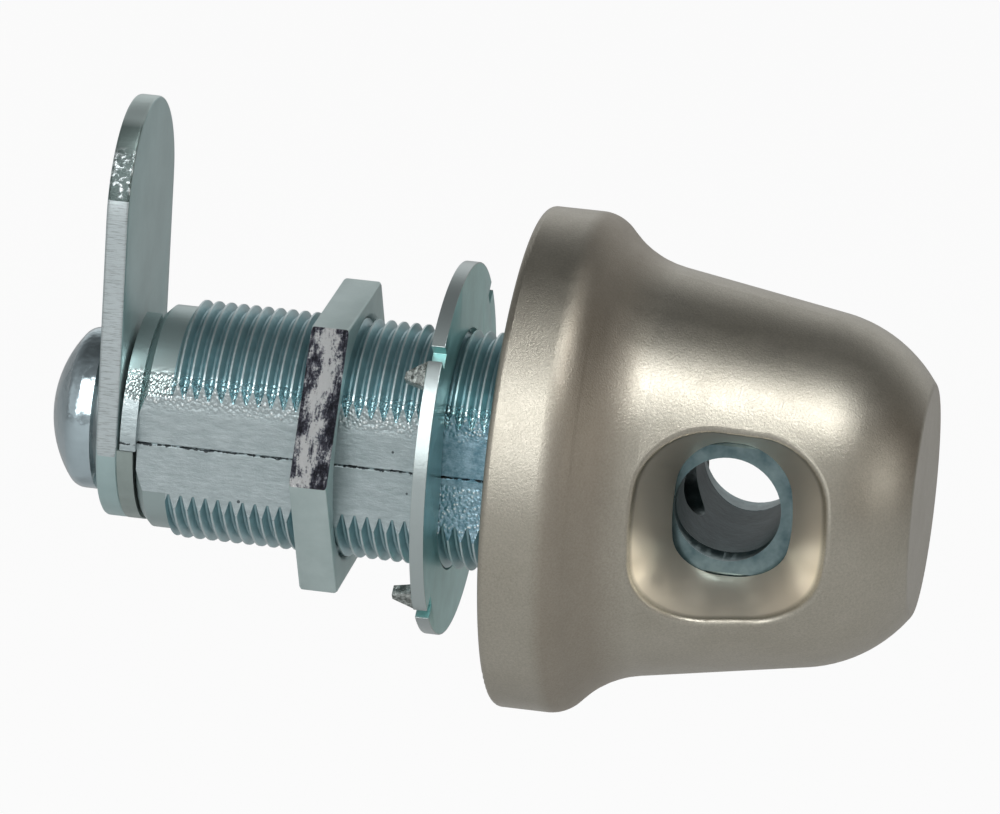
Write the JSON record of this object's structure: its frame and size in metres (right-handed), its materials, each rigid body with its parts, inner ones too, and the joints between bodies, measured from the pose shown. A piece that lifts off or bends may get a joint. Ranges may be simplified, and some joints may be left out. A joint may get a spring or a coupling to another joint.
{
  "type": "padlockable cam latch",
  "caption": "Cam latch with a bell-shaped knob, windows for a padlock shackle, a threaded barrel with flats, a hex nut, a toothed washer and a flat cam.",
  "frame": {"origin": "on the latch's axis, in the plane where the barrel's head rests on the panel", "axes": "+X along the axis out of the door, +Z towards the cam's tip at rest, Y along the padlock's shackle"},
  "size_m": [0.0697, 0.0398, 0.0457],
  "materials": {
    "bell_nickel": "bead-blasted satin nickel on die-cast zinc",
    "barrel_zinc": "zinc-plated die casting",
    "nut_zinc": "zinc-plated steel",
    "washer_steel": "zinc-plated stamped steel",
    "cam_steel": "zinc-plated stamped steel",
    "screw_steel": "zinc-plated steel",
    "spindle_steel": "turned steel, zinc-plated",
    "spring_steel": "bare spring steel",
    "seal_rubber": "black rubber"
  },
  "bodies": {
    "barrel": {"threaded_barrel": "barrel_zinc", "knob_seal": "seal_rubber", "spring_washer": "spring_steel"},
    "knob": {"bell_knob": "bell_nickel", "spindle": "spindle_steel", "spindle_seal": "seal_rubber", "cross_pin": "spring_steel", "stop_washer": "washer_steel", "cam": "cam_steel", "lock_washer": "spring_steel", "cam_screw": "screw_steel"},
    "nut": {"hex_nut": "nut_zinc"},
    "washer": {"spur_washer": "washer_steel"}
  },
  "joints": [
    {"name": "knob_turn", "type": "hinge", "parent": "barrel", "child": "knob", "pos_m": [0, 0, 0], "axis": [1, 0, 0], "range_deg": [0, 90]},
    {"name": "nut_run", "type": "slide", "parent": "barrel", "child": "nut", "axis": [1, 0, 0], "range_m": [-0.0095, 0.0032]},
    {"name": "washer_slide", "type": "slide", "parent": "barrel", "child": "washer", "axis": [1, 0, 0], "range_m": [-0.002, 0.0048]}
  ]
}
